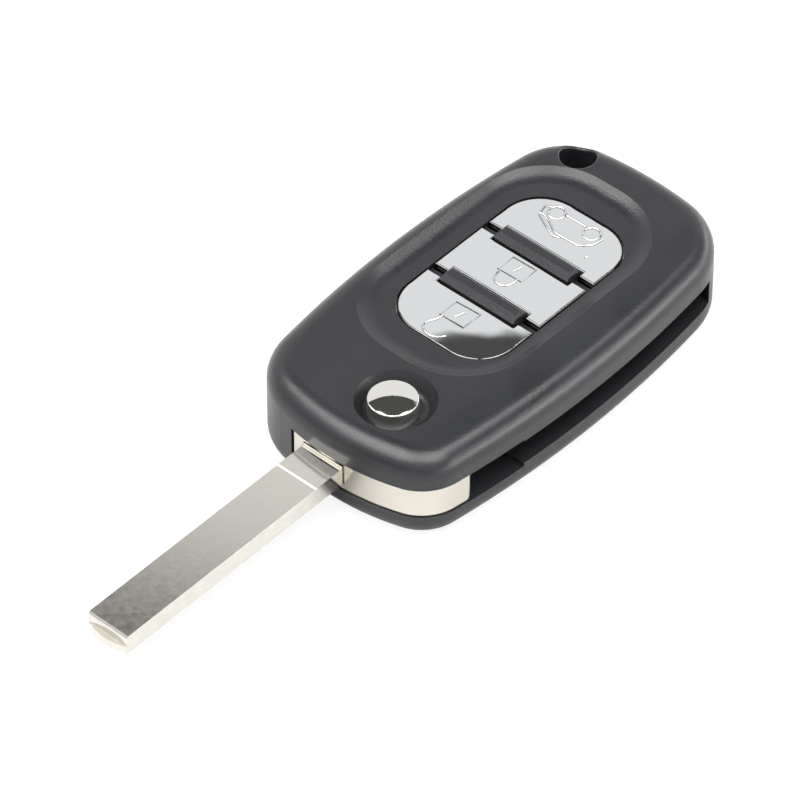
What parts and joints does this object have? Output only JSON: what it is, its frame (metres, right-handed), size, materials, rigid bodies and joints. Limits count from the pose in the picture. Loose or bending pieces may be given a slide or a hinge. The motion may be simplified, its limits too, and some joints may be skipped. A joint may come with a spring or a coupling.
{
  "type": "folding key fob shell",
  "caption": "Folding key fob shell with plated lock keys in a sunk dish, and an uncut blade on a sprung hub that a domed button releases.",
  "frame": {"origin": "middle of the whole object's footprint, on the surface that the case's back rests on", "axes": "+Z out of the face with the keys, +Y along the case away from the blade, the blade points along -Y and folds round through +X"},
  "size_m": [0.0394, 0.1166, 0.0165],
  "materials": {
    "case": "fine grained satin",
    "tray": "satin",
    "pad": "matte",
    "plating": "mirror",
    "nickel": "fine satin",
    "hub_nickel": "polished",
    "steel": "bright"
  },
  "bodies": {
    "case": {"upper_case": "case", "lower_case": "case", "key_pad": "pad", "board_tray": "tray", "flip_spring": "steel"},
    "flip": {"flip_hub": "hub_nickel", "key_blade": "nickel", "blade_pin": "steel"},
    "release": {"release_button": "plating"},
    "unlock": {"unlock_key": "plating"},
    "lock": {"lock_key": "plating"},
    "boot": {"boot_key": "plating"}
  },
  "joints": [
    {"name": "blade_flip", "type": "hinge", "parent": "case", "child": "flip", "pos_m": [0.00385, -0.00343, 0.00695], "axis": [0, 0, 1], "range_deg": [0, 180], "stiffness_Nm_per_rad": 0.01, "springref_deg": -45.84},
    {"name": "release_press", "type": "slide", "parent": "flip", "child": "release", "axis": [0, 0, -1], "range_m": [0, 0.002], "stiffness_N_per_m": 500, "springref_m": -0.004, "deforming": ["flip_spring"]},
    {"name": "unlock_press", "type": "slide", "parent": "case", "child": "unlock", "axis": [0, 0, -1], "range_m": [0, 0.0006], "stiffness_N_per_m": 600, "springref_m": -0.002},
    {"name": "lock_press", "type": "slide", "parent": "case", "child": "lock", "axis": [0, 0, -1], "range_m": [0, 0.0006], "stiffness_N_per_m": 600, "springref_m": -0.002},
    {"name": "boot_press", "type": "slide", "parent": "case", "child": "boot", "axis": [0, 0, -1], "range_m": [0, 0.0006], "stiffness_N_per_m": 600, "springref_m": -0.002}
  ]
}
